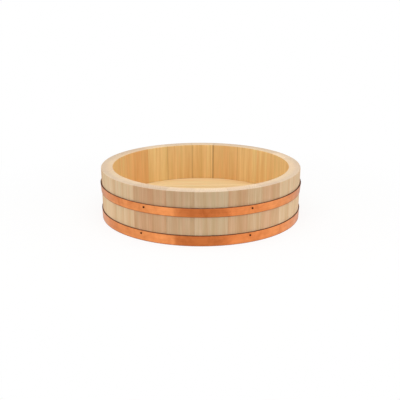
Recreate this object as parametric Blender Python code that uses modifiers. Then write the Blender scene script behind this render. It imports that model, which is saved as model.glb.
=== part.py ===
# A coopered rice tub: upright staves round a boarded base, held by two copper hoops.
# Units are metres, +Z is up, and the origin is in the middle of the foot.
# Angles run round the tub from the front, which faces -Y, towards +X.

import math

import bmesh
import bpy
from mathutils import Matrix, Vector

# The tub as a whole
TUB_DIAMETER = 0.520  # over the standing edge of the upper hoop
TUB_HEIGHT = 0.130
TAPER = 0.001  # how much further out the staves stand at the rim than at the foot
FIT = 0.0003  # clearance between two pieces that touch

# The staves, whose widths are taken along the rim, round the tub from the first seam
STAVE_THICKNESS = 0.030
STAVE_WIDTHS = (
    0.0880, 0.0660, 0.0775, 0.0475, 0.0395, 0.0575, 0.0665, 0.0740,
    0.0670, 0.0595, 0.0700, 0.0640, 0.0750, 0.0850, 0.0700, 0.0845,
    0.0740, 0.0540, 0.0485, 0.0615, 0.0620, 0.0735, 0.0795, 0.0765,
)
FIRST_SEAM = math.radians(-37.3)
EDGE_CHAMFER = 0.002
STAVE_FACET = math.radians(4.4)

# The base, whose boards run along X, with their widths taken from the front to the back
FOOT_RECESS = 0.011  # from the foot up to the underside of the base
BASE_THICKNESS = 0.018
GROOVE_DEPTH = 0.004
BOARD_WIDTHS = (0.080, 0.075, 0.079, 0.073, 0.078, 0.082)
BASE_FACETS = 96

# The hoops
UPPER_HOOP_WIDTH = 0.0218
LOWER_HOOP_WIDTH = 0.025
HOOP_THICKNESS = 0.001
UPPER_HOOP_STAND_OFF = 0.002  # between the staves and the top edge of the strip
LOWER_HOOP_STAND_OFF = 0.001
UPPER_HOOP_DROP = 0.0383  # from the rim down to the top edge of the upper hoop
LOWER_HOOP_RISE = 0.0005  # from the foot up to the bottom edge of the lower hoop
HOOP_FACETS = 96
LAP_FACETS = 3
LAP_END = math.radians(184.0)  # where the outer end of the strip lies, at the back

# The nails that hold the hoops
NAIL_HEAD_RADIUS = 0.0023
NAIL_HEAD_HEIGHT = 0.0009
NAIL_SHANK_RADIUS = 0.0008
NAIL_SHANK_LENGTH = 0.013
NAIL_POINT_LENGTH = 0.003
NAIL_SIDES = 12
UPPER_NAIL_DROP = 0.0083  # from the top edge of the hoop down to its nails
LOWER_NAIL_DROP = 0.0075
UPPER_NAIL_DEGREES = (-30.4, 27.2, 84.5, 142.5, 213.5, 267.0)  # set by eye, clear of the seams
LOWER_NAIL_DEGREES = (-32.6, 26.4, 86.0, 144.5, 211.0, 264.5)
LAP_NAIL_SPACING = 0.012  # between the two nails of a lap, one above the other

# The bamboo pegs across the joints of the base, two to a joint
PEG_RADIUS = 0.002
PEG_LENGTH = 0.030
PEG_SIDES = 12
PEG_PLACE = 0.55  # how far along a joint its pegs lie, from the middle to the end

# What follows from them
HOOP_SIZE_FACTOR = 1 / math.cos(math.pi / HOOP_FACETS)  # keeps a flat facet outside the staves
UPPER_HOOP_TOP = TUB_HEIGHT - UPPER_HOOP_DROP
UPPER_HOOP_BOTTOM = UPPER_HOOP_TOP - UPPER_HOOP_WIDTH
LOWER_HOOP_TOP = LOWER_HOOP_RISE + LOWER_HOOP_WIDTH
TAPER_SLOPE = TAPER / TUB_HEIGHT
FOOT_RADIUS = TUB_DIAMETER / 2 - HOOP_THICKNESS - UPPER_HOOP_STAND_OFF - TAPER_SLOPE * UPPER_HOOP_TOP
BASE_MIDDLE = FOOT_RECESS + BASE_THICKNESS / 2
LAP_LIFT = HOOP_THICKNESS + FIT


def outer_radius(height):
    """The outside of the staves at a height above the foot."""
    return FOOT_RADIUS + TAPER_SLOPE * height


def inner_radius(height):
    """The inside of the staves at a height above the foot."""
    return outer_radius(height) - STAVE_THICKNESS


GROOVE_RADIUS = inner_radius(BASE_MIDDLE) + GROOVE_DEPTH
BASE_RADIUS = GROOVE_RADIUS * math.cos(STAVE_FACET / 2) - FIT


def frame_at(angle, radius=0.0, height=0.0):
    """A frame whose X axis points away from the tub's axis at an angle from the front."""
    turn = Matrix.Rotation(angle - math.pi / 2, 4, "Z")
    return turn @ Matrix.Translation((radius, 0, height))


def material(name, colour, roughness, metallic=0.0):
    """A plain finish: one colour, in linear values, with its gloss."""
    made = bpy.data.materials.new(name)
    made.use_nodes = True
    shader = made.node_tree.nodes["Principled BSDF"]
    shader.inputs["Base Color"].default_value = (*colour, 1)
    shader.inputs["Roughness"].default_value = roughness
    shader.inputs["Metallic"].default_value = metallic
    return made


def mesh_of(name, bm, finish=None):
    """A mesh of a bmesh, with its faces turned outwards."""
    bmesh.ops.recalc_face_normals(bm, faces=bm.faces)
    mesh = bpy.data.meshes.new(name)
    bm.to_mesh(mesh)
    bm.free()
    if finish:
        mesh.materials.append(finish)
    return mesh


def add_object(name, mesh, collection, frame=None):
    """Place a mesh, as it lies or in a frame."""
    made = bpy.data.objects.new(name, mesh)
    if frame:
        made.matrix_world = frame
    collection.objects.link(made)
    return made


def cut(piece, cutter):
    """Take a cutter's shape out of a piece."""
    hole = piece.modifiers.new(cutter.name, "BOOLEAN")
    hole.operation = "DIFFERENCE"
    hole.solver = "EXACT"
    hole.object = cutter


def add_holes(name, radius, start, end, sides, frames, collection):
    """A cutter of round holes, each along the X axis of its frame from start to end."""
    bm = bmesh.new()
    lie_down = Matrix.Rotation(math.pi / 2, 4, "Y")
    for frame in frames:
        bmesh.ops.create_cone(
            bm,
            cap_ends=True,
            segments=sides,
            radius1=radius,
            radius2=radius,
            depth=end - start,
            matrix=frame @ Matrix.Translation(((start + end) / 2, 0, 0)) @ lie_down,
        )
    holes = add_object(name, mesh_of(name, bm), collection)
    holes.hide_render = True
    holes.display_type = "WIRE"
    return holes


def seam_angles():
    """The angle of each stave's first seam, and of the last seam, which closes the ring."""
    girth = sum(STAVE_WIDTHS)
    angles = [FIRST_SEAM]
    for width in STAVE_WIDTHS:
        angles.append(angles[-1] + math.tau * width / girth)
    return angles


def stave_section():
    """A stave's outline in a plane through the tub's axis, as radius and height."""
    groove_bottom = FOOT_RECESS - FIT
    groove_top = FOOT_RECESS + BASE_THICKNESS + FIT
    rim = TUB_HEIGHT - EDGE_CHAMFER
    return (
        (outer_radius(0) - EDGE_CHAMFER, 0),
        (outer_radius(EDGE_CHAMFER), EDGE_CHAMFER),
        (outer_radius(rim), rim),
        (outer_radius(TUB_HEIGHT) - EDGE_CHAMFER, TUB_HEIGHT),
        (inner_radius(TUB_HEIGHT) + EDGE_CHAMFER, TUB_HEIGHT),
        (inner_radius(rim), rim),
        (inner_radius(groove_top), groove_top),
        (GROOVE_RADIUS, groove_top),
        (GROOVE_RADIUS, groove_bottom),
        (inner_radius(groove_bottom), groove_bottom),
        (inner_radius(EDGE_CHAMFER), EDGE_CHAMFER),
        (inner_radius(0) + EDGE_CHAMFER, 0),
    )


def add_stave(name, start, end, collection, finish):
    """One stave between two seams, its section spun round the tub's axis."""
    gap = FIT / outer_radius(TUB_HEIGHT)
    width = end - start - gap
    bm = bmesh.new()
    section = bm.faces.new([bm.verts.new((radius, 0, height)) for radius, height in stave_section()])
    bmesh.ops.transform(bm, matrix=frame_at(start + gap / 2), verts=bm.verts)
    bmesh.ops.spin(
        bm,
        geom=[section, *section.edges, *section.verts],
        cent=(0, 0, 0),
        axis=(0, 0, 1),
        angle=width,
        steps=math.ceil(width / STAVE_FACET),
    )
    return add_object(name, mesh_of(name, bm, finish), collection)


def joint_places():
    """How far back the joints of the base lie, with the disc's own front and back."""
    scale = 2 * BASE_RADIUS / sum(BOARD_WIDTHS)
    places = [-BASE_RADIUS]
    for width in BOARD_WIDTHS:
        places.append(places[-1] + width * scale)
    return places


def add_board(name, front, back, collection, finish):
    """One board of the base, cut out of the disc at its joints."""
    bm = bmesh.new()
    bmesh.ops.create_cone(
        bm,
        cap_ends=True,
        segments=BASE_FACETS,
        radius1=BASE_RADIUS,
        radius2=BASE_RADIUS,
        depth=BASE_THICKNESS,
        matrix=Matrix.Translation((0, 0, BASE_MIDDLE)),
    )
    for joint, inwards in ((front, 1), (back, -1)):
        if abs(joint) > BASE_RADIUS - FIT:
            continue  # the first and last board end in the disc's own edge
        result = bmesh.ops.bisect_plane(
            bm,
            geom=[*bm.verts, *bm.edges, *bm.faces],
            plane_co=(0, joint + inwards * FIT / 2, 0),
            plane_no=(0, -inwards, 0),
            clear_outer=True,
        )
        edges = [part for part in result["geom_cut"] if isinstance(part, bmesh.types.BMEdge)]
        bmesh.ops.contextual_create(bm, geom=edges)
    return add_object(name, mesh_of(name, bm, finish), collection)


def peg_frames():
    """The middle of each base peg, X pointing across the joint."""
    frames = []
    for joint in joint_places()[1:-1]:
        half_length = math.sqrt(BASE_RADIUS**2 - joint**2)
        for side in (-1, 1):
            place = (side * PEG_PLACE * half_length, joint, BASE_MIDDLE)
            frames.append(Matrix.Translation(place) @ Matrix.Rotation(math.pi / 2, 4, "Z"))
    return frames


def peg_mesh(finish):
    """A round bamboo peg, along X."""
    bm = bmesh.new()
    bmesh.ops.create_cone(
        bm,
        cap_ends=True,
        segments=PEG_SIDES,
        radius1=PEG_RADIUS,
        radius2=PEG_RADIUS,
        depth=PEG_LENGTH,
        matrix=Matrix.Rotation(math.pi / 2, 4, "Y"),
    )
    return mesh_of("base_peg", bm, finish)


def add_hoop(name, bottom, top, stand_off, collection, finish):
    """A strip bent round the staves, whose last facets lap over its first."""
    bm = bmesh.new()
    low = bm.verts.new(((outer_radius(bottom) + FIT) * HOOP_SIZE_FACTOR, 0, bottom))
    high = bm.verts.new((outer_radius(top) + stand_off, 0, top))
    strip = bm.edges.new((low, high))
    facet = math.tau / HOOP_FACETS
    bmesh.ops.transform(bm, matrix=frame_at(LAP_END - LAP_FACETS * facet), verts=bm.verts)
    bmesh.ops.spin(
        bm,
        geom=[low, high, strip],
        cent=(0, 0, 0),
        axis=(0, 0, 1),
        angle=(HOOP_FACETS + LAP_FACETS) * facet,
        steps=HOOP_FACETS + LAP_FACETS,
    )
    bm.verts.index_update()
    for corner in bm.verts:
        if corner.index >= 2 * HOOP_FACETS:  # two corners a facet, so these pass the first end
            outwards = Vector((corner.co.x, corner.co.y, 0)).normalized()
            corner.co += outwards * LAP_LIFT
    made = add_object(name, mesh_of(name, bm, finish), collection)
    sheet = made.modifiers.new("sheet", "SOLIDIFY")
    sheet.thickness = HOOP_THICKNESS
    sheet.offset = 1
    return made


def nail_frame(hoop_bottom, hoop_top, stand_off, angle, height, lift=0.0):
    """Where a nail's head meets a hoop, X pointing out: clear of the strip, which leans."""
    low_face = (outer_radius(hoop_bottom) + FIT) * HOOP_SIZE_FACTOR
    lean = (outer_radius(hoop_top) + stand_off - low_face) / (hoop_top - hoop_bottom)
    face = low_face + lean * (height + NAIL_HEAD_RADIUS - hoop_bottom) + HOOP_THICKNESS
    return frame_at(angle, face + FIT + lift, height)


def nail_frames(hoop_bottom, hoop_top, stand_off, degrees, drop):
    """The frames of the nails round a hoop."""
    return [
        nail_frame(hoop_bottom, hoop_top, stand_off, math.radians(angle), hoop_top - drop)
        for angle in degrees
    ]


def lap_nail_frames(hoop_bottom, hoop_top, stand_off):
    """The frames of the two nails through the lap of a hoop."""
    middle = (hoop_bottom + hoop_top) / 2
    angle = LAP_END - math.pi * LAP_FACETS / HOOP_FACETS
    heights = (middle - LAP_NAIL_SPACING / 2, middle + LAP_NAIL_SPACING / 2)
    return [
        nail_frame(hoop_bottom, hoop_top, stand_off, angle, height, LAP_LIFT)
        for height in heights
    ]


def nail_mesh(finish):
    """A nail turned about X: a low round head, with its underside at 0, on a pointed shank."""
    outline = (
        (NAIL_HEAD_HEIGHT, 0),
        (NAIL_HEAD_HEIGHT * 0.85, NAIL_HEAD_RADIUS * 0.6),
        (NAIL_HEAD_HEIGHT * 0.3, NAIL_HEAD_RADIUS),
        (0, NAIL_HEAD_RADIUS),
        (0, NAIL_SHANK_RADIUS),
        (NAIL_POINT_LENGTH - NAIL_SHANK_LENGTH, NAIL_SHANK_RADIUS),
        (-NAIL_SHANK_LENGTH, 0),
    )
    bm = bmesh.new()
    points = [bm.verts.new((along, 0, radius)) for along, radius in outline]
    edges = [bm.edges.new(pair) for pair in zip(points, points[1:])]
    bmesh.ops.spin(
        bm,
        geom=[*points, *edges],
        cent=(0, 0, 0),
        axis=(1, 0, 0),
        angle=math.tau,
        steps=NAIL_SIDES,
        use_merge=True,
    )
    bmesh.ops.remove_doubles(bm, verts=bm.verts, dist=1e-6)
    return mesh_of("nail", bm, finish)


def add_copies(name, mesh, frames, collection):
    """One object for each frame, all sharing a mesh and numbered from 1."""
    for number, frame in enumerate(frames, 1):
        add_object(f"{name}_{number}", mesh, collection, frame)


def build():
    """Model the whole tub in its own collection, and the cutters in another."""
    for old in list(bpy.data.objects):
        bpy.data.objects.remove(old)
    tub = bpy.data.collections.new("rice_tub")
    cutters = bpy.data.collections.new("cutters")
    bpy.context.scene.collection.children.link(tub)
    bpy.context.scene.collection.children.link(cutters)

    stave_wood = material("cypress stave", (0.55, 0.35, 0.18), 0.6)
    base_wood = material("cypress board", (0.75, 0.53, 0.27), 0.6)
    copper = material("copper sheet", (0.75, 0.31, 0.14), 0.35, metallic=1.0)
    dark_copper = material("tarnished copper", (0.16, 0.05, 0.02), 0.5, metallic=1.0)
    bamboo = material("bamboo", (0.60, 0.42, 0.18), 0.5)

    seams = seam_angles()
    staves = [
        add_stave(f"stave_{number:02d}", start, end, tub, stave_wood)
        for number, (start, end) in enumerate(zip(seams, seams[1:]), 1)
    ]

    joints = joint_places()
    boards = [
        add_board(f"base_board_{number}", front, back, tub, base_wood)
        for number, (front, back) in enumerate(zip(joints, joints[1:]), 1)
    ]
    add_copies("base_peg", peg_mesh(bamboo), peg_frames(), tub)
    half_hole = PEG_LENGTH / 2 + FIT
    peg_holes = add_holes(
        "peg_holes", PEG_RADIUS + FIT, -half_hole, half_hole, PEG_SIDES, peg_frames(), cutters
    )
    for board in boards:
        cut(board, peg_holes)

    nail = nail_mesh(dark_copper)
    hoops = (
        (
            "upper", UPPER_HOOP_BOTTOM, UPPER_HOOP_TOP, UPPER_HOOP_STAND_OFF,
            UPPER_NAIL_DEGREES, UPPER_NAIL_DROP,
        ),
        (
            "lower", LOWER_HOOP_RISE, LOWER_HOOP_TOP, LOWER_HOOP_STAND_OFF,
            LOWER_NAIL_DEGREES, LOWER_NAIL_DROP,
        ),
    )
    for place, bottom, top, stand_off, nail_degrees, nail_drop in hoops:
        hoop = add_hoop(f"{place}_hoop", bottom, top, stand_off, tub, copper)
        round_nails = nail_frames(bottom, top, stand_off, nail_degrees, nail_drop)
        lap_nails = lap_nail_frames(bottom, top, stand_off)
        add_copies(f"{place}_hoop_nail", nail, round_nails, tub)
        add_copies(f"{place}_lap_nail", nail, lap_nails, tub)
        nail_holes = add_holes(
            f"{place}_nail_holes",
            NAIL_SHANK_RADIUS + FIT,
            -NAIL_SHANK_LENGTH - FIT,
            NAIL_HEAD_HEIGHT,
            NAIL_SIDES,
            round_nails + lap_nails,
            cutters,
        )
        for pierced in (hoop, *staves):
            cut(pierced, nail_holes)


build()
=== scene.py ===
# The looks of a coopered rice tub: planed cypress staves and base boards, and nailed copper hoops.
# Lengths are in metres. Angles run round the tub from the front, which faces -Y, towards +X.
import math
import random

import bmesh
import bpy
from mathutils import Matrix, Vector, noise


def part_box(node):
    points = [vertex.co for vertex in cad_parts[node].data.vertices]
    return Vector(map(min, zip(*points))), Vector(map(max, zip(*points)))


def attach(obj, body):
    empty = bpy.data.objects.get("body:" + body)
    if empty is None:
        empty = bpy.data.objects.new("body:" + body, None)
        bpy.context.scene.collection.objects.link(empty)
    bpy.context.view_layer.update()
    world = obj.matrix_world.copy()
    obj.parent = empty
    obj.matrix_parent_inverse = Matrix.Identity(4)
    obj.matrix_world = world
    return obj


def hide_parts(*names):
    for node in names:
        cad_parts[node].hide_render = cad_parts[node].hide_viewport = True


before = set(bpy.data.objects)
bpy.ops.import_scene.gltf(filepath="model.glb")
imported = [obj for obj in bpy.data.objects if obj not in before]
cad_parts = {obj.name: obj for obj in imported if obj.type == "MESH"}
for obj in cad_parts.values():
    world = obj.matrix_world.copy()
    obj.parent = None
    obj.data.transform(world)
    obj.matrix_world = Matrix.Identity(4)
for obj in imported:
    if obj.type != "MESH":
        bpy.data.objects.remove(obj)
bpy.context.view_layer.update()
print("frame loaded:", len(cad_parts), "nodes")

tub = {
    "rimRadius": 0.2573,  # outside of the staves at the rim
    "taper": 0.001,  # how much further in they stand at the foot
    "wall": 0.030,
    "grooveDepth": 0.004,
    "fit": 0.0003,  # clearance between two pieces that touch
    "height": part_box("stave_01")[1].z,
}
baseLow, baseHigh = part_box("base_board_1")[0].z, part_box("base_board_1")[1].z
hoopNames = ("upper", "lower")
hoopTops = [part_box(name + "_hoop")[1].z for name in hoopNames]


def outerRadius(height):
    return tub["rimRadius"] - tub["taper"] * (1 - height / tub["height"])


def innerRadius(height):
    return outerRadius(height) - tub["wall"]


def around(angle, radius=0.0, height=0.0):
    # a frame whose X axis points away from the tub's axis
    return Matrix.Rotation(angle - math.pi / 2, 4, "Z") @ Matrix.Translation((radius, 0, height))


def outwards(angle):
    # the direction away from the tub's axis
    return Vector((math.sin(angle), -math.cos(angle), 0))


def angleOf(place):
    return math.atan2(place.x, -place.y)


def turnFrom(start, angle):
    # from one angle to another, by half a turn at most
    return (angle - start + math.pi) % math.tau - math.pi


def cornersOf(node):
    return [vertex.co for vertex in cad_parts[node].data.vertices]


def middleOf(corners):
    return sum(corners, Vector()) / len(corners)


def linear(hexCode):
    # an sRGB hex colour as the linear RGBA that the shader sockets take
    values = [int(hexCode[place:place + 2], 16) / 255 for place in (1, 3, 5)]
    return [v / 12.92 if v <= 0.04045 else ((v + 0.055) / 1.055) ** 2.4 for v in values] + [1]


def setSockets(tree, node, values):
    # sockets go by name or number: a Mix node's two colours are 6 and 7
    # as a value, a node stands for its first output in use, and a hex colour for its linear one
    for socket, value in values.items():
        if isinstance(value, bpy.types.Node):
            value = next(output for output in value.outputs if output.enabled)
        if isinstance(value, bpy.types.NodeSocket):
            tree.links.new(value, node.inputs[socket])
        else:
            node.inputs[socket].default_value = linear(value) if isinstance(value, str) else value


def addNode(tree, kind, values=None, **settings):
    # one shader node, with its settings and what its sockets are linked or set to
    node = tree.nodes.new(kind)
    for name, value in settings.items():
        setattr(node, name, value)
    setSockets(tree, node, values or {})
    return node


def newMaterial(name):
    material = bpy.data.materials.new(name)
    material.use_nodes = True
    tree = material.node_tree
    return material, tree, tree.nodes["Principled BSDF"]


def addObject(name, data):
    thing = bpy.data.objects.new(name, data)
    bpy.context.scene.collection.objects.link(thing)
    return thing


def finishPiece(name, bm, material, node, sharpAngle=40):
    # a bmesh as a smooth-shaded piece that stands for a CAD node
    mesh = bpy.data.meshes.new(name)
    bm.to_mesh(mesh)
    bm.free()
    mesh.shade_smooth()
    mesh.set_sharp_from_angle(angle=math.radians(sharpAngle))
    mesh.materials.append(material)
    piece = addObject(name, mesh)
    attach(piece, "root")
    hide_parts(node)
    return piece


def setAttribute(piece, name, valueAt):
    # a vector on every corner of a piece, worked out from where the corner is
    field = piece.data.attributes.new(name, "FLOAT_VECTOR", "POINT")
    for corner, value in zip(piece.data.vertices, field.data):
        value.vector = valueAt(corner.co)


# Camera: stands in front and a little above, and looks at the middle of the tub's floor
cameraLook = {
    "distance": 1.689,  # from the middle of the tub
    "elevation": 16.25,
    "focalShare": 1.6025,  # focal length over the width of the frame
    "sensor": 36,  # millimetres
    "aim": (-0.0018, 0.0, 0.0308),
    "roll": 0.03,
}


def addCamera(look):
    data = bpy.data.cameras.new("camera")
    data.sensor_width = look["sensor"]
    data.lens = look["focalShare"] * data.sensor_width
    camera = addObject("camera", data)
    rise = math.radians(look["elevation"])
    place = Vector((0, -math.cos(rise), math.sin(rise))) * look["distance"]
    place.z += tub["height"] / 2
    turn = (Vector(look["aim"]) - place).to_track_quat("-Z", "Y")
    camera.matrix_world = (
        Matrix.Translation(place) @ turn.to_matrix().to_4x4()
        @ Matrix.Rotation(math.radians(look["roll"]), 4, "Z")
    )
    bpy.context.scene.camera = camera


addCamera(cameraLook)
print("camera placed")


# Studio: a white room with soft boxes at the sides and above, and a dimmer gap where the camera is
studio = {
    "worldStrength": 0.57,
    "worldColour": "#FFFFFF",
    "floorColour": "#FBFAF9",
    "floorRadius": 8.0,
    "floorSegments": 96,
    "shadowShare": 0.16,  # how much of the floor's own shade shows near the tub
    "shadowReach": (0.4, 0.85),  # the shade is full within the first radius, gone past the second
    "glossyShare": 0.9,  # how much of the white shows in metal
    "gapStart": 0.145,  # how far in front of the tub's axis the gap starts
    "room": [  # azimuth from the front, and how the room looks there to the copper
        (-180, "#D4D2CE"), (-128, "#D4D2CE"), (-98, "#E2E1DF"), (-62, "#E6E5E4"),
        (-48, "#FFFFFF"), (-31, "#FFFFFF"), (-28, "#C8B19F"), (20, "#C8B19F"),
        (34, "#F0DDD3"), (56, "#F4EAE4"), (88, "#F3F1F0"), (128, "#D4D2CE"),
        (180, "#D4D2CE"),
    ],
}
softBoxes = [
    # name, azimuth from the front, elevation, distance, width, height, watts
    ("softBoxLeft", -82, 20, 2.2, 1.6, 1.0, 6),
    ("softBoxRight", 82, 20, 2.2, 1.6, 1.0, 6),
    ("softBoxTop", 0, 72, 2.0, 2.4, 2.4, 23),
]


def roomLight(tree, look, direction):
    # how the room looks in a direction, as the copper sees it
    parts = addNode(tree, "ShaderNodeSeparateXYZ", {0: direction}).outputs
    forward = addNode(tree, "ShaderNodeMath", {0: parts["Y"], 1: -1.0}, operation="MULTIPLY")
    azimuth = addNode(tree, "ShaderNodeMath", {0: parts["X"], 1: forward}, operation="ARCTAN2")
    turn = addNode(tree, "ShaderNodeMapRange", {0: azimuth, 1: -math.pi, 2: math.pi})
    room = addNode(tree, "ShaderNodeValToRGB", {0: turn})
    stops = room.color_ramp.elements
    for degrees, _ in look["room"][1:-1]:
        stops.new((degrees + 180) / 360)
    for stop, (_, colour) in zip(stops, look["room"]):
        stop.color = linear(colour)
    return room


def showWhite(tree, room):
    # for a background: which rays see it, and its colour, white to the camera and the room to metal
    rays = addNode(tree, "ShaderNodeLightPath").outputs
    glossy = rays["Is Glossy Ray"]
    seen = addNode(tree, "ShaderNodeMath",
                   {0: rays["Is Camera Ray"], 1: rays["Is Transmission Ray"]}, operation="MAXIMUM")
    seen = addNode(tree, "ShaderNodeMath", {0: seen, 1: glossy}, operation="MAXIMUM")
    shown = addNode(tree, "ShaderNodeMix", {0: glossy, 6: "#FFFFFF", 7: room}, data_type="RGBA")
    return seen, shown, glossy


def addWorld(look):
    world = bpy.data.worlds.new("whiteRoom")
    world.use_nodes = True
    bpy.context.scene.world = world
    tree = world.node_tree
    tree.nodes.clear()
    direction = addNode(tree, "ShaderNodeTexCoord").outputs["Generated"]
    seen, shown, _ = showWhite(tree, roomLight(tree, look, direction))
    light = addNode(tree, "ShaderNodeBackground",
                    {0: look["worldColour"], 1: look["worldStrength"]})
    backdrop = addNode(tree, "ShaderNodeBackground", {0: shown, 1: 1.0})
    mix = addNode(tree, "ShaderNodeMixShader", {0: seen, 1: light, 2: backdrop})
    addNode(tree, "ShaderNodeOutputWorld", {0: mix})


def addFloor(look):
    bm = bmesh.new()
    bmesh.ops.create_circle(bm, cap_ends=True, segments=look["floorSegments"],
                            radius=look["floorRadius"])
    mesh = bpy.data.meshes.new("studioFloor")
    bm.to_mesh(mesh)
    bm.free()
    floor = addObject("studioFloor", mesh)
    material, tree, shader = newMaterial("matte white paint")
    mesh.materials.append(material)
    tree.nodes.remove(shader)
    place = addNode(tree, "ShaderNodeTexCoord").outputs["Object"]
    ahead = addNode(tree, "ShaderNodeVectorMath", {0: place, 1: (0, look["gapStart"], 0)})
    seen, shown, glossy = showWhite(tree, roomLight(tree, look, ahead))
    paint = addNode(tree, "ShaderNodeBsdfDiffuse", {0: look["floorColour"]})
    white = addNode(tree, "ShaderNodeEmission", {0: shown, 1: 1.0})
    reach = addNode(tree, "ShaderNodeVectorMath", {0: place}, operation="LENGTH")
    near, far = look["shadowReach"]
    shade = addNode(tree, "ShaderNodeMapRange",
                    {0: reach, 1: near, 2: far, 3: 1 - look["shadowShare"], 4: 1.0},
                    interpolation_type="SMOOTHSTEP")
    inMetal = addNode(tree, "ShaderNodeMath", {0: glossy, 1: look["glossyShare"]},
                      operation="MULTIPLY")
    share = addNode(tree, "ShaderNodeMath", {0: shade, 1: seen}, operation="MULTIPLY")
    share = addNode(tree, "ShaderNodeMath", {0: share, 1: inMetal}, operation="MAXIMUM")
    mix = addNode(tree, "ShaderNodeMixShader", {0: share, 1: paint, 2: white})
    setSockets(tree, tree.nodes["Material Output"], {0: mix})


def addSoftBox(name, azimuth, elevation, distance, width, height, watts):
    light = bpy.data.lights.new(name, "AREA")
    light.shape = "RECTANGLE"
    light.size = width
    light.size_y = height
    light.energy = watts
    lamp = addObject(name, light)
    turn, rise = math.radians(azimuth), math.radians(elevation)
    flat = math.cos(rise)
    place = Vector((math.sin(turn) * flat, -math.cos(turn) * flat, math.sin(rise)))
    lamp.location = place * distance
    lamp.rotation_euler = place.to_track_quat("Z", "Y").to_euler()


addWorld(studio)
addFloor(studio)
for box in softBoxes:
    addSoftBox(*box)
bpy.context.scene.view_settings.view_transform = "Standard"
print("studio lit")


# Sawara cypress, planed: pale straw wood with fine straight rings and soft streaks
staveWood = {
    "name": "sawara cypress stave",
    "early": "#F7DEB8",
    "late": "#D2A974",
    "streak": "#E2BC8C",
    "rosy": "#FFFAF7",  # the two tints that the wood drifts between
    "olive": "#F9FBF5",
    "warm": "#FFEBE2",  # tint of the redder staves
    "gold": "#FAF3D3",  # tint of the inside, which steam and vinegar have warmed
    "grey": "#E7E4E4",  # tint of the outside, which air and light have greyed
    "bendSize": (0.0625, 0.2),  # of the slow bends of the grain, across it and along it
    "ringWidth": 0.0042,  # real rings are about 2 mm, drawn wider so that they show
    "ringWobble": 0.004,
    "crowding": 55.0,  # how often in a metre the rings crowd together or spread
    "crowdedRings": 3.0,  # by how many rings they then shift
    "ringRise": 3.2,  # a power: the higher, the nearer the late wood keeps to the end of its ring
    "ringFall": 0.86,  # the share of a ring after which it pales again
    "streakSize": (0.011, 0.242),  # across the grain and along it
    "streakFrom": (0.38, 0.70),  # where in its noise a streak starts, and where it is full
    "streakMost": 0.75,
    "driftFrom": (0.38, 0.62),  # where in the noise the first tint ends and the second is full
    "fibreSize": (0.0009, 0.036),  # across the grain and along it
    "fibreContrast": 0.16,
    "fibreHeight": 0.5,  # against the height of the late wood
    "roughness": 0.62,
    "gloss": 0.2,  # bare planed wood shines little
    "bump": 0.00012,
}
baseWood = {
    **staveWood,
    "name": "sawara cypress base board",
    "early": "#FBE9BE",
    "late": "#DDB478",
    "streak": "#EDC98F",
    "ringWidth": 0.0055,
    "ringWobble": 0.006,
}
# what use has done to the staves, and the painted shade in the gap behind each hoop
staveWearAndShade = {
    "blend": 0.006,  # half the width in which the outside's tint turns into the inside's
    "endGrain": "#EFD8BE",
    "endFrom": (0.55, 0.9),  # how far a face looks up or down where end grain starts and is full
    "endMost": 0.75,
    "endRoughness": 0.4,  # added to the wood's own
    "endRings": (-0.3, 1.03),  # the rings show faintly: their share, and the light between them
    "poreScale": 450.0,  # marks in a metre, so each is about 2 mm
    "poreContrast": 0.5,
    "rimDarkeningFrom": (0.03, 0.12),  # heights between which the wood goes from lighter at the foot to darker towards the rim
    "footToRimLight": (1.04, 0.93),
    # a dark band at each hoop's top edge, reaching down behind the hoop: part copper stain, part
    # painted shade of the gap
    "stainAndShade": "#602400",
    "stainAndShadeMost": 0.9,
    "stainAndShadeReach": (-0.0005, 0.0003),  # where it ends, above each hoop's top edge, before it frays
    "stainAndShadeFade": 0.0011,
    "stainAndShadeDepth": 0.022,  # how far it goes down behind the hoop
    "frayScale": 160.0,  # marks in a metre, so each is about 6 mm
    "fray": 0.0016,
    "dirt": "#8A5528",
    "dirtMost": 0.75,
    "dirtCore": 0.0004,  # full within this of the seam
    "dirtReach": (0.0008, 0.0024),  # gone past the first of a clean seam, past both of a dirty one
    "dirtFade": 1.1,  # how much less of it shows in the end grain
}


def stretched(size):
    # the scale at which the marks of a noise have this size across the grain and along it
    across, along = size
    return 1 / across, 1 / across, 1 / along


def distanceFromZ(tree, place):
    flat = addNode(tree, "ShaderNodeVectorMath", {0: place, 1: (1, 1, 0)}, operation="MULTIPLY")
    return addNode(tree, "ShaderNodeVectorMath", {0: flat}, operation="LENGTH")


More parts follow.
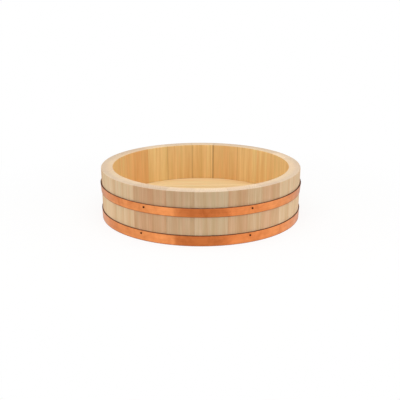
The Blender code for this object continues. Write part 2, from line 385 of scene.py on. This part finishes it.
def makeWood(look, turned, wearAndShade):
    # growth rings are cylinders round the heart of the log, which each piece keeps in "heart"
    material, tree, shader = newMaterial(look["name"])
    place = addNode(tree, "ShaderNodeTexCoord").outputs["Object"]
    heart = addNode(tree, "ShaderNodeAttribute", attribute_name="heart").outputs["Vector"]
    toneAndLight = addNode(tree, "ShaderNodeAttribute", attribute_name="toneAndLight").outputs["Vector"]
    light, warmth, figure = addNode(tree, "ShaderNodeSeparateXYZ", {0: toneAndLight}).outputs
    log = addNode(tree, "ShaderNodeVectorMath", {0: place, 1: heart}, operation="SUBTRACT")
    if turned:  # the boards of the base lie down, with their grain along X
        log = addNode(tree, "ShaderNodeMapping", {"Vector": log, "Rotation": (0, math.pi / 2, 0)})

    # slow bends of the grain, longer along it than across
    slow = addNode(tree, "ShaderNodeMapping",
                   {"Vector": log, "Scale": stretched(look["bendSize"])})
    bend = addNode(tree, "ShaderNodeTexNoise", {"Vector": slow, "Scale": 1.0, "Detail": 2.0})
    bend = addNode(tree, "ShaderNodeVectorMath", {0: bend.outputs["Color"], 1: (0.5, 0.5, 0.5)},
                   operation="SUBTRACT")
    bend = addNode(tree, "ShaderNodeVectorMath", {0: bend, "Scale": look["ringWobble"]},
                   operation="SCALE")
    bent = addNode(tree, "ShaderNodeVectorMath", {0: log, 1: bend}, operation="ADD")
    depth = distanceFromZ(tree, bent)

    # rings of uneven width: each darkens slowly to its late wood, then starts again
    uneven = addNode(tree, "ShaderNodeTexNoise",
                     {"W": depth, "Scale": look["crowding"], "Detail": 1.0}, noise_dimensions="1D")
    count = addNode(tree, "ShaderNodeMath", {0: depth, 1: 1 / look["ringWidth"]},
                    operation="MULTIPLY")
    count = addNode(tree, "ShaderNodeMath", {0: uneven, 1: look["crowdedRings"], 2: count},
                    operation="MULTIPLY_ADD")
    phase = addNode(tree, "ShaderNodeMath", {0: count}, operation="FRACT")
    rise = addNode(tree, "ShaderNodeMath", {0: phase, 1: look["ringRise"]}, operation="POWER")
    fall = addNode(tree, "ShaderNodeMapRange",
                   {0: phase, 1: look["ringFall"], 2: 1.0, 3: 1.0, 4: 0.0})
    ring = addNode(tree, "ShaderNodeMath", {0: rise, 1: fall}, operation="MULTIPLY")
    ring = addNode(tree, "ShaderNodeMath", {0: ring, 1: figure}, operation="MULTIPLY")

    # soft streaks along the grain, then fine fibres
    wide = addNode(tree, "ShaderNodeMapping",
                   {"Vector": bent, "Scale": stretched(look["streakSize"])})
    soft = addNode(tree, "ShaderNodeTexNoise",
                   {"Vector": wide, "Scale": 1.0, "Detail": 3.0, "Roughness": 0.6})
    start, full = look["streakFrom"]
    streak = addNode(tree, "ShaderNodeMapRange",
                     {0: soft, 1: start, 2: full, 3: 0.0, 4: look["streakMost"]})
    start, full = look["driftFrom"]
    drift = addNode(tree, "ShaderNodeSeparateColor", {0: soft.outputs["Color"]}).outputs["Green"]
    drift = addNode(tree, "ShaderNodeMapRange", {0: drift, 1: start, 2: full})
    drift = addNode(tree, "ShaderNodeMix", {0: drift, 6: look["rosy"], 7: look["olive"]},
                    data_type="RGBA")
    fine = addNode(tree, "ShaderNodeMapping",
                   {"Vector": log, "Scale": stretched(look["fibreSize"])})
    fibre = addNode(tree, "ShaderNodeTexNoise", {"Vector": fine, "Scale": 1.0, "Detail": 2.0})

    colour = addNode(tree, "ShaderNodeMix", {0: ring, 6: look["early"], 7: look["late"]},
                     data_type="RGBA")
    colour = addNode(tree, "ShaderNodeMix", {0: streak, 6: colour, 7: look["streak"]},
                     data_type="RGBA")
    colour = addNode(tree, "ShaderNodeVectorMath", {0: colour, 1: drift}, operation="MULTIPLY")
    colour = addNode(tree, "ShaderNodeMix", {0: warmth, 6: colour, 7: look["warm"]},
                     data_type="RGBA", blend_type="MULTIPLY")
    contrast = look["fibreContrast"]
    shade = addNode(tree, "ShaderNodeMath", {0: fibre, 1: contrast, 2: 1 - contrast / 2},
                    operation="MULTIPLY_ADD")
    shade = addNode(tree, "ShaderNodeMath", {0: shade, 1: light}, operation="MULTIPLY")
    colour = addNode(tree, "ShaderNodeVectorMath", {0: colour, "Scale": shade}, operation="SCALE")

    rough = look["roughness"]
    if wearAndShade:
        colour, rough = wearAndShadeStave(tree, look, wearAndShade, place, ring, colour)
    lift = addNode(tree, "ShaderNodeMath", {0: fibre, 1: look["fibreHeight"], 2: ring},
                   operation="MULTIPLY_ADD")
    bump = addNode(tree, "ShaderNodeBump", {"Height": lift, "Distance": look["bump"]})
    setSockets(tree, shader, {"Base Color": colour, "Normal": bump, "Roughness": rough,
                              "Specular IOR Level": look["gloss"]})
    return material


def wearAndShadeStave(tree, look, wearAndShade, place, ring, colour):
    # a warmer inside, a pale planed rim, dark seams, and stain and painted shade at the hoops
    height = addNode(tree, "ShaderNodeSeparateXYZ", {0: place}).outputs["Z"]
    radius = distanceFromZ(tree, place)
    middle, blend = tub["rimRadius"] - tub["wall"] / 2, wearAndShade["blend"]
    inside = addNode(tree, "ShaderNodeMapRange",
                     {0: radius, 1: middle - blend, 2: middle + blend, 3: 1.0, 4: 0.0})
    outside = addNode(tree, "ShaderNodeMath", {0: 1.0, 1: inside}, operation="SUBTRACT")
    aged = addNode(tree, "ShaderNodeMix", {0: inside, 6: look["grey"], 7: look["gold"]},
                   data_type="RGBA")
    aged = addNode(tree, "ShaderNodeVectorMath", {0: colour, 1: aged}, operation="MULTIPLY")
    edges = addNode(tree, "ShaderNodeAttribute", attribute_name="edges").outputs["Vector"]
    firstDirt, lastDirt, endLight = addNode(tree, "ShaderNodeSeparateXYZ", {0: edges}).outputs

    # end grain on the rim and the foot, with pores and faint rings
    normal = addNode(tree, "ShaderNodeNewGeometry").outputs["Normal"]
    upright = addNode(tree, "ShaderNodeSeparateXYZ", {0: normal}).outputs["Z"]
    upright = addNode(tree, "ShaderNodeMath", {0: upright}, operation="ABSOLUTE")
    start, full = wearAndShade["endFrom"]
    endGrain = addNode(tree, "ShaderNodeMapRange",
                       {0: upright, 1: start, 2: full, 3: 0.0, 4: wearAndShade["endMost"]})
    contrast = wearAndShade["poreContrast"]
    pores = addNode(tree, "ShaderNodeTexNoise",
                    {"Vector": place, "Scale": wearAndShade["poreScale"], "Detail": 3.0, "Roughness": 0.7})
    shade = addNode(tree, "ShaderNodeMath", {0: pores, 1: contrast, 2: 1 - contrast / 2},
                    operation="MULTIPLY_ADD")
    share, between = wearAndShade["endRings"]
    rings = addNode(tree, "ShaderNodeMath", {0: ring, 1: share, 2: between},
                    operation="MULTIPLY_ADD")
    shade = addNode(tree, "ShaderNodeMath", {0: shade, 1: rings}, operation="MULTIPLY")
    shade = addNode(tree, "ShaderNodeMath", {0: shade, 1: endLight}, operation="MULTIPLY")
    planed = addNode(tree, "ShaderNodeVectorMath",
                     {0: linear(wearAndShade["endGrain"])[:3], "Scale": shade}, operation="SCALE")
    rough = addNode(tree, "ShaderNodeMath",
                    {0: endGrain, 1: wearAndShade["endRoughness"], 2: look["roughness"]},
                    operation="MULTIPLY_ADD")
    colour = addNode(tree, "ShaderNodeMix", {0: endGrain, 6: aged, 7: planed}, data_type="RGBA")

    # the wood is lighter at the foot and darker towards the rim, and a dark band of stain and
    # painted shade runs along each hoop's top edge and down behind it, both only on the outside
    low, high = wearAndShade["rimDarkeningFrom"]
    bright, dark = wearAndShade["footToRimLight"]
    heightLight = addNode(tree, "ShaderNodeMapRange", {0: height, 1: low, 2: high, 3: bright, 4: dark})
    heightLight = addNode(tree, "ShaderNodeMix", {0: inside, 2: heightLight, 3: 1.0})
    colour = addNode(tree, "ShaderNodeVectorMath", {0: colour, "Scale": heightLight}, operation="SCALE")
    frayed = addNode(tree, "ShaderNodeTexNoise",
                     {"Vector": place, "Scale": wearAndShade["frayScale"], "Detail": 2.0})
    frayed = addNode(tree, "ShaderNodeMath", {0: frayed, 1: -wearAndShade["fray"], 2: height},
                     operation="MULTIPLY_ADD")
    # painted shade: the wood in the gap behind each hoop and at its top edge is darkened with a
    # stain colour
    for top, reach in zip(hoopTops, wearAndShade["stainAndShadeReach"]):
        end = top + reach
        above = addNode(tree, "ShaderNodeMapRange",
                        {0: frayed, 1: end - wearAndShade["stainAndShadeFade"], 2: end,
                         3: wearAndShade["stainAndShadeMost"], 4: 0.0},
                        interpolation_type="SMOOTHSTEP")
        below = addNode(tree, "ShaderNodeMath", {0: frayed, 1: top - wearAndShade["stainAndShadeDepth"]},
                        operation="GREATER_THAN")
        stainAndShade = addNode(tree, "ShaderNodeMath", {0: above, 1: below}, operation="MULTIPLY")
        stainAndShade = addNode(tree, "ShaderNodeMath", {0: stainAndShade, 1: outside}, operation="MULTIPLY")
        colour = addNode(tree, "ShaderNodeMix", {0: stainAndShade, 6: colour, 7: wearAndShade["stainAndShade"]},
                         data_type="RGBA")

    # seams: dirt on both sides of the joint, wider where there is more of it
    seam = addNode(tree, "ShaderNodeAttribute", attribute_name="seam").outputs["Vector"]
    first, last, _ = addNode(tree, "ShaderNodeSeparateXYZ", {0: seam}).outputs
    faded = addNode(tree, "ShaderNodeMath", {0: endGrain, 1: -wearAndShade["dirtFade"], 2: 1.0},
                    operation="MULTIPLY_ADD")
    least, more = wearAndShade["dirtReach"]
    for distance, amount in ((first, firstDirt), (last, lastDirt)):
        reach = addNode(tree, "ShaderNodeMath", {0: amount, 1: more, 2: least},
                        operation="MULTIPLY_ADD")
        dirt = addNode(tree, "ShaderNodeMapRange",
                       {0: distance, 1: wearAndShade["dirtCore"], 2: reach, 3: wearAndShade["dirtMost"], 4: 0.0},
                       interpolation_type="SMOOTHSTEP")
        dirt = addNode(tree, "ShaderNodeMath", {0: dirt, 1: amount}, operation="MULTIPLY")
        dirt = addNode(tree, "ShaderNodeMath", {0: dirt, 1: faded}, operation="MULTIPLY")
        colour = addNode(tree, "ShaderNodeMix", {0: dirt, 6: colour, 7: wearAndShade["dirt"]},
                         data_type="RGBA")
    return colour, rough


staveShape = {
    "edge": 0.002,  # rounding of the rim and the foot
    "edgeSegments": 4,
    "seamEase": 0.0002,  # the sharp corners at a seam are eased this much
    "glueLine": 0.00002,  # half the hairline that shows in a glued joint
    "steps": 20,
    "planing": 0.0002,  # how far a stave may stand in from its neighbours
    "heartOut": (-0.06, 0.10),  # the log's heart, out from the rim
    "heartAside": (0.10, 0.26),
    "heartUp": (-0.5, 0.5),
    "figure": (0.35, 0.8),  # how strongly the rings show
}
# light (the stave's own tone, and painted light: the front staves darker and those towards the
# sides lighter), warmth, dirt in the first seam and light of the end grain, from the front left
# round to the right
staveTonesAndLight = [
    (0.90, 0.90, 0.05, 0.89), (0.86, 0.45, 0.03, 1.01), (0.91, 0.05, 0.08, 1.08),
    (0.94, 0.80, 0.10, 1.01), (0.99, 0.25, 0.05, 1.01), (0.99, 0.75, 0.05, 0.92),
    (1.08, 0.10, 0.20, 0.92), (1.10, 0.20, 0.10, 0.91), (1.04, 0.45, 0.10, 0.95),
    (1.03, 0.10, 0.15, 0.95), (1.00, 0.15, 0.10, 1.06), (1.01, 0.25, 0.10, 0.91),
    (1.00, 0.10, 0.15, 0.90), (0.97, 0.55, 0.30, 0.90), (1.02, 0.15, 0.85, 0.96),
    (0.98, 0.20, 0.50, 0.91), (1.01, 0.00, 0.40, 0.96), (0.97, 1.00, 0.20, 0.87),
    (0.97, 0.90, 0.05, 0.87), (0.98, 0.45, 0.15, 0.88), (1.02, 0.30, 0.10, 0.92),
    (1.04, 0.50, 0.10, 0.87), (1.11, 0.00, 0.15, 0.85), (1.05, 0.05, 0.10, 0.91),
]


def seamAngles(node):
    # the two ends of a CAD stave, as angles round the tub
    corners = cornersOf(node)
    middle = angleOf(middleOf(corners))
    turns = [turnFrom(middle, angleOf(corner)) for corner in corners]
    return middle + min(turns), middle + max(turns)


def makeStave(number, material):
    shape = staveShape
    node = f"stave_{number:02d}"
    start, end = seamAngles(node)
    glue = (tub["fit"] / 2 - shape["glueLine"]) / tub["rimRadius"]
    start, end = start - glue, end + glue
    planed = random.uniform(-shape["planing"], 0)
    grooveRadius = innerRadius((baseLow + baseHigh) / 2) + tub["grooveDepth"]
    grooveLow, grooveHigh = baseLow - tub["fit"], baseHigh + tub["fit"]
    corners = [
        (outerRadius(0), 0), (outerRadius(tub["height"]), tub["height"]),
        (innerRadius(tub["height"]), tub["height"]), (innerRadius(grooveHigh), grooveHigh),
        (grooveRadius, grooveHigh), (grooveRadius, grooveLow),
        (innerRadius(grooveLow), grooveLow), (innerRadius(0), 0),
    ]
    bm = bmesh.new()
    outline = [bm.verts.new((radius + planed, 0, height)) for radius, height in corners]
    bm.faces.new(outline)
    rounded = outline[:3] + outline[-1:]  # at the rim and the foot, not at the groove
    bmesh.ops.bevel(bm, geom=rounded, affect="VERTICES", offset=shape["edge"],
                    segments=shape["edgeSegments"], profile=0.5, material=-1)
    bmesh.ops.transform(bm, matrix=around(start), verts=bm.verts)
    bmesh.ops.spin(bm, geom=bm.verts[:] + bm.edges[:] + bm.faces[:], cent=(0, 0, 0),
                   axis=(0, 0, 1), angle=end - start, steps=shape["steps"])
    # only the two glued sides have more than four corners
    ends = [edge for edge in bm.edges if any(len(face.verts) > 4 for face in edge.link_faces)]
    bmesh.ops.bevel(bm, geom=ends, affect="EDGES", offset=shape["seamEase"], segments=2,
                    profile=0.5, material=-1)
    bmesh.ops.recalc_face_normals(bm, faces=bm.faces)
    piece = finishPiece(node + "_wood", bm, material, node)

    # the log's heart lies beside the stave, so the rings cross its wall and run straight up it
    side = random.choice((-1, 1))
    middle = (start + end) / 2
    heart = around(middle) @ Vector((
        tub["rimRadius"] + random.uniform(*shape["heartOut"]),
        side * random.uniform(*shape["heartAside"]),
        random.uniform(*shape["heartUp"]),
    ))
    # light is partly the stave's own tone and partly painted light, darker at the front and lighter
    # towards the sides
    light, warmth, firstDirt, endLight = staveTonesAndLight[number - 1]
    lastDirt = staveTonesAndLight[number % len(staveTonesAndLight)][2]
    figure = random.uniform(*shape["figure"])
    setAttribute(piece, "heart", lambda corner: heart)
    setAttribute(piece, "toneAndLight", lambda corner: (light, warmth, figure))
    setAttribute(piece, "edges", lambda corner: (firstDirt, lastDirt, endLight))

    def seamDistances(corner):
        turn = turnFrom(middle, angleOf(corner))
        radius = math.hypot(corner.x, corner.y)
        return (turn - start + middle) * radius, (end - middle - turn) * radius, 0

    setAttribute(piece, "seam", seamDistances)
    return piece


random.seed(52)
sawara = makeWood(staveWood, turned=False, wearAndShade=staveWearAndShade)
staves = [makeStave(number, sawara) for number in range(1, len(staveTonesAndLight) + 1)]
print("staves made:", len(staves))


boardShape = {
    "segments": 256,
    "ease": 0.0004,
    "outermost": 0.001,  # a side this near the disc's edge is no joint
    "heartAlong": (-0.3, 0.3),
    "heartAside": (-0.05, 0.05),
    "heartDown": (0.05, 0.11),  # of the log's heart, below the tub's foot
    "figure": (0.35, 0.7),  # how strongly the rings show
}
boardTones = [(1.0, 0.03), (0.98, 0.0), (1.02, 0.0), (1.0, 0.05), (0.98, 0.02), (1.0, 0.04)]


def makeBoard(number, material):
    shape = boardShape
    node = f"base_board_{number}"
    low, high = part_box(node)
    radius = max(math.hypot(corner.x, corner.y) for corner in cornersOf(node))
    bm = bmesh.new()
    bmesh.ops.create_cone(bm, cap_ends=True, segments=shape["segments"], radius1=radius,
                          radius2=radius, depth=high.z - low.z,
                          matrix=Matrix.Translation((0, 0, (low.z + high.z) / 2)))
    for joint, side in ((low.y, -1), (high.y, 1)):
        if abs(joint) > radius - shape["outermost"]:
            continue
        cut = bmesh.ops.bisect_plane(bm, geom=bm.verts[:] + bm.edges[:] + bm.faces[:],
                                     plane_co=(0, joint, 0), plane_no=(0, side, 0),
                                     clear_outer=True)
        edges = [part for part in cut["geom_cut"] if isinstance(part, bmesh.types.BMEdge)]
        bmesh.ops.contextual_create(bm, geom=edges)
    rims = [edge for edge in bm.edges if edge.calc_face_angle(0) > math.radians(60)]
    bmesh.ops.bevel(bm, geom=rims, affect="EDGES", offset=shape["ease"], segments=2, profile=0.5,
                    material=-1)
    bmesh.ops.recalc_face_normals(bm, faces=bm.faces)
    if bm.calc_volume(signed=True) < 0:  # a board cut on both sides can come out inside out
        bmesh.ops.reverse_faces(bm, faces=bm.faces)
    piece = finishPiece(node + "_wood", bm, material, node)
    heart = Vector((
        random.uniform(*shape["heartAlong"]),
        (low.y + high.y) / 2 + random.uniform(*shape["heartAside"]),
        -random.uniform(*shape["heartDown"]),
    ))
    light, warmth = boardTones[number - 1]
    figure = random.uniform(*shape["figure"])
    setAttribute(piece, "heart", lambda corner: heart)
    setAttribute(piece, "toneAndLight", lambda corner: (light, warmth, figure))
    return piece


sawaraBase = makeWood(baseWood, turned=True, wearAndShade=None)
boards = [makeBoard(number, sawaraBase) for number in range(1, len(boardTones) + 1)]
print("base boards made:", len(boards))


# Copper strip, cold-rolled and bent by hand: warm orange metal, brushed along its length, with
# duller patches, and dark grime and painted shade at its edges
copperLook = {
    "metal": "#F59D5E",
    "dull": "#C46A38",
    "edge": "#561A02",
    "roughness": 0.30,
    "brushed": 0.7,
    "patchSize": 0.026,
    "patchFrom": (0.40, 0.72),  # where in their noise the patches start, and where they are full
    "patchMost": 0.55,
    "patchRoughness": 0.25,  # added to the metal's own
    "brushSize": (0.4, 0.0014),  # of the broadest brush lines, along the strip and across it
    "brushContrast": 0.4,
    "brushLight": 0.84,
    "brushDepth": 0.00005,
    "edgeFrom": 0.965,  # the dark line starts this far up the strip
    "edgeFade": 0.03,
    "edgeMost": 0.85,
    "frayScale": 90.0,  # marks in a metre, so each is about 11 mm
    "fray": 0.02,  # of the strip's width
    "lowerEdge": (0.02, 0.09),  # painted shade fills the lower edge up to the first, and is gone past both
    "lowerMost": 0.6,
    "grimeAndShadeRoughness": 0.5,  # added where the grime and painted shade lie, as grime is duller than the metal
    "grimeAndShadeCover": 1.1,  # how much of the metal's shine it hides
}


def makeCopper(look):
    material, tree, shader = newMaterial("copper strip, brushed and a little tarnished")
    strip = addNode(tree, "ShaderNodeAttribute", attribute_name="strip").outputs["Vector"]
    upStrip = addNode(tree, "ShaderNodeSeparateXYZ", {0: strip}).outputs["Z"]
    place = addNode(tree, "ShaderNodeTexCoord").outputs["Object"]
    cloud = addNode(tree, "ShaderNodeVectorMath", {0: place, "Scale": 1 / look["patchSize"]},
                    operation="SCALE")
    cloud = addNode(tree, "ShaderNodeTexNoise",
                    {"Vector": cloud, "Scale": 1.0, "Detail": 6.0, "Roughness": 0.6,
                     "Distortion": 0.4})
    start, full = look["patchFrom"]
    cloud = addNode(tree, "ShaderNodeMapRange",
                    {0: cloud, 1: start, 2: full, 3: 0.0, 4: look["patchMost"]})
    along, across = look["brushSize"]
    brushed = addNode(tree, "ShaderNodeMapping",
                      {"Vector": strip, "Scale": (1 / along, 1 / across, 1)})
    brushed = addNode(tree, "ShaderNodeTexNoise",
                      {"Vector": brushed, "Scale": 1.0, "Detail": 4.0, "Roughness": 0.6})
    colour = addNode(tree, "ShaderNodeMix", {0: cloud, 6: look["metal"], 7: look["dull"]},
                     data_type="RGBA")
    light = addNode(tree, "ShaderNodeMath",
                    {0: brushed, 1: look["brushContrast"], 2: look["brushLight"]},
                    operation="MULTIPLY_ADD")
    colour = addNode(tree, "ShaderNodeVectorMath", {0: colour, "Scale": light}, operation="SCALE")

    # grime and painted shade: along the top edge part tarnish and part painted shade, darkest
    # there, and along the lower edge painted shade under the strip
    ragged = addNode(tree, "ShaderNodeTexNoise",
                     {"Vector": place, "Scale": look["frayScale"], "Detail": 2.0})
    ragged = addNode(tree, "ShaderNodeMath", {0: ragged, 1: look["fray"], 2: upStrip},
                     operation="MULTIPLY_ADD")
    start = look["edgeFrom"]
    upper = addNode(tree, "ShaderNodeMapRange",
                    {0: ragged, 1: start, 2: start + look["edgeFade"], 3: 0.0,
                     4: look["edgeMost"]})
    # painted shade along the strip's lower edge, where it meets the wood
    full, end = look["lowerEdge"]
    lower = addNode(tree, "ShaderNodeMapRange",
                    {0: upStrip, 1: full, 2: end, 3: look["lowerMost"], 4: 0.0})
    grimeAndShade = addNode(tree, "ShaderNodeMath", {0: upper, 1: lower}, operation="MAXIMUM")
    colour = addNode(tree, "ShaderNodeMix", {0: grimeAndShade, 6: colour, 7: look["edge"]},
                     data_type="RGBA")
    rough = addNode(tree, "ShaderNodeMath",
                    {0: cloud, 1: look["patchRoughness"], 2: look["roughness"]},
                    operation="MULTIPLY_ADD")
    rough = addNode(tree, "ShaderNodeMath", {0: grimeAndShade, 1: look["grimeAndShadeRoughness"], 2: rough},
                    operation="MULTIPLY_ADD")
    bare = addNode(tree, "ShaderNodeMath", {0: grimeAndShade, 1: -look["grimeAndShadeCover"], 2: 1.0},
                   operation="MULTIPLY_ADD")
    bump = addNode(tree, "ShaderNodeBump", {"Height": brushed, "Distance": look["brushDepth"]})
    aroundTub = addNode(tree, "ShaderNodeTangent", direction_type="RADIAL", axis="Z")
    setSockets(tree, shader, {
        "Base Color": colour,
        "Roughness": rough,
        "Normal": bump,
        "Metallic": bare,
        "Anisotropic": look["brushed"],
        "Anisotropic Rotation": 0.25,  # light spreads across the brush lines
        "Tangent": aroundTub,
    })
    return material


hoopShape = {
    "thickness": 0.001,
    "standOff": {"upper": 0.002, "lower": 0.001},  # of the top edge, out from the staves
    "inset": 0.0001,  # keeps the eased strip inside the CAD one, and off the staves
    "degreesAStep": 0.5,
    "rows": 12,
    "lapStart": 172.75,  # the first end of the strip, at the back, under its last one
    "lap": 11.25,
    "ramp": 2.6,  # degrees in which the strip climbs over its first end
    "wave": 0.0001,
    "wavesADegree": 0.06,
    "dent": 0.0006,  # where a nail draws the strip in
    "dentRadius": 0.0055,
    "easing": 0.0003,
}


def nailPlace(node):
    # a CAD nail's angle, height and the radius of the top of its head
    corners = cornersOf(node)
    middle = middleOf(corners)
    angle = angleOf(middle)
    return angle, middle.z, max(corner.dot(outwards(angle)) for corner in corners)


def makeHoop(name, material):
    shape = hoopShape
    node = name + "_hoop"
    bottom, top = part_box(node)[0].z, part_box(node)[1].z - shape["inset"]
    nails = [nailPlace(nail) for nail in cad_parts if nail.startswith(name) and "nail" in nail]
    bm = bmesh.new()
    low = bm.verts.new((outerRadius(bottom) + tub["fit"] + shape["inset"], 0, bottom))
    high = bm.verts.new((outerRadius(top) + shape["standOff"][name], 0, top))
    edge = bm.edges.new((low, high))
    bmesh.ops.subdivide_edges(bm, edges=[edge], cuts=shape["rows"] - 1)
    bmesh.ops.transform(bm, matrix=around(math.radians(shape["lapStart"])), verts=bm.verts)
    row = len(bm.verts)
    length = 360 + shape["lap"]
    bmesh.ops.spin(bm, geom=bm.verts[:] + bm.edges[:], cent=(0, 0, 0), axis=(0, 0, 1),
                   angle=math.radians(length), steps=round(length / shape["degreesAStep"]))
    bm.verts.index_update()
    stripField = bm.verts.layers.float_vector.new("strip")
    lapRamp = 360 - shape["degreesAStep"] - shape["ramp"]
    seed = bottom * 50  # the two hoops wave unlike each other
    for corner in bm.verts:
        along = corner.index // row * shape["degreesAStep"]
        climb = min(1, max(0, (along - lapRamp) / shape["ramp"]))
        climb = climb * climb * (3 - 2 * climb) * (shape["thickness"] + tub["fit"])
        angle = angleOf(corner.co)
        share = (corner.co.z - bottom) / (top - bottom)
        corner[stripField] = (math.radians(along) * tub["rimRadius"], corner.co.z - bottom, share)
        wave = noise.noise(Vector((along * shape["wavesADegree"], share, seed)))
        push = climb + wave * shape["wave"]
        for nailAngle, nailHeight, _ in nails:
            aside = turnFrom(nailAngle, angle) * tub["rimRadius"]
            reach = math.hypot(aside, corner.co.z - nailHeight) / shape["dentRadius"]
            push -= shape["dent"] * math.exp(-reach * reach)
        corner.co += outwards(angle) * push
    bmesh.ops.recalc_face_normals(bm, faces=bm.faces)
    piece = finishPiece(node + "_strip", bm, material, node)
    sheet = piece.modifiers.new("thickness", "SOLIDIFY")
    sheet.thickness = shape["thickness"]
    sheet.offset = 1
    easing = piece.modifiers.new("easedEdges", "BEVEL")
    easing.width = shape["easing"]
    easing.segments = 2
    easing.limit_method = "ANGLE"
    easing.angle_limit = math.radians(50)
    return piece


copper = makeCopper(copperLook)
hoops = [makeHoop(name, copper) for name in hoopNames]
print("hoops made:", len(hoops))


# Copper nails, driven home: domed heads gone nearly black where the polish can't reach
nailLook = {
    "metal": "#2C140A",
    "worn": "#5A2C16",
    "roughness": 0.42,
    "mottleScale": 700.0,  # marks in a metre, so each is about 1.4 mm
    "headRadius": 0.0023,
    "headHeight": 0.0011,
    "domeSteps": 6,
    "inset": 0.00005,  # keeps the head inside the CAD one
    "collar": 0.0011,  # how far the head reaches down into its dent
    "collarShare": 0.72,  # of the head's radius
    "shankRadius": 0.0008,
    "shankLength": 0.013,
    "pointLength": 0.003,
    "steps": 24,
    "lean": 4,  # degrees that a nail may lean
}


def makeNailCopper(look):
    material, tree, shader = newMaterial("copper nail, tarnished dark")
    place = addNode(tree, "ShaderNodeTexCoord").outputs["Object"]
    mottle = addNode(tree, "ShaderNodeTexNoise",
                     {"Vector": place, "Scale": look["mottleScale"], "Detail": 3.0})
    colour = addNode(tree, "ShaderNodeMix", {0: mottle, 6: look["metal"], 7: look["worn"]},
                     data_type="RGBA")
    setSockets(tree, shader, {"Base Color": colour, "Metallic": 1.0,
                              "Roughness": look["roughness"]})
    return material


def makeNail(node, material):
    look = nailLook
    angle, height, top = nailPlace(node)
    head, radius = look["headHeight"], look["headRadius"]
    bm = bmesh.new()
    turns = [math.pi / 2 * step / look["domeSteps"] for step in range(look["domeSteps"] + 1)]
    outline = [(head * math.cos(turn), radius * math.sin(turn)) for turn in turns] + [
        (-look["collar"], radius * look["collarShare"]), (-look["collar"], look["shankRadius"]),
        (look["pointLength"] - look["shankLength"], look["shankRadius"]),
        (-look["shankLength"], 0),
    ]
    points = [bm.verts.new((along, 0, out)) for along, out in outline]
    edges = [bm.edges.new(pair) for pair in zip(points, points[1:])]
    bmesh.ops.spin(bm, geom=points + edges, cent=(0, 0, 0), axis=(1, 0, 0), angle=math.tau,
                   steps=look["steps"], use_merge=True)
    bmesh.ops.remove_doubles(bm, verts=bm.verts, dist=1e-6)
    bmesh.ops.recalc_face_normals(bm, faces=bm.faces)
    lean = [math.radians(random.uniform(-look["lean"], look["lean"])) for _ in range(2)]
    leaning = Matrix.Rotation(lean[0], 4, "Y") @ Matrix.Rotation(lean[1], 4, "Z")
    place = around(angle, top - head - look["inset"], height)
    bmesh.ops.transform(bm, matrix=place @ leaning, verts=bm.verts)
    return finishPiece(node + "_copper", bm, material, node, sharpAngle=50)


nailCopper = makeNailCopper(nailLook)
nailNodes = sorted(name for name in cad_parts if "nail" in name)
nails = [makeNail(node, nailCopper) for node in nailNodes]
print("nails made:", len(nails))


# Bamboo pegs, whittled: pale, with fine straight fibres, in the joints of the base as the CAD
# made them
pegLook = {
    "pale": "#D9C48C",
    "dark": "#B4975A",
    "fibreScale": (60, 1500, 1500),  # fibres in a metre, along the peg and across it
    "roughness": 0.5,
}


def makeBamboo(look):
    material, tree, shader = newMaterial("bamboo, whittled")
    place = addNode(tree, "ShaderNodeTexCoord").outputs["Object"]
    along = addNode(tree, "ShaderNodeMapping", {"Vector": place, "Scale": look["fibreScale"]})
    fibre = addNode(tree, "ShaderNodeTexNoise", {"Vector": along, "Scale": 1.0, "Detail": 2.0})
    colour = addNode(tree, "ShaderNodeMix", {0: fibre, 6: look["pale"], 7: look["dark"]},
                     data_type="RGBA")
    setSockets(tree, shader, {"Base Color": colour, "Roughness": look["roughness"]})
    return material


bamboo = makeBamboo(pegLook)
for node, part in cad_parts.items():
    if node.startswith("base_peg"):
        for place in part.material_slots:
            place.material = bamboo
print("pegs finished")
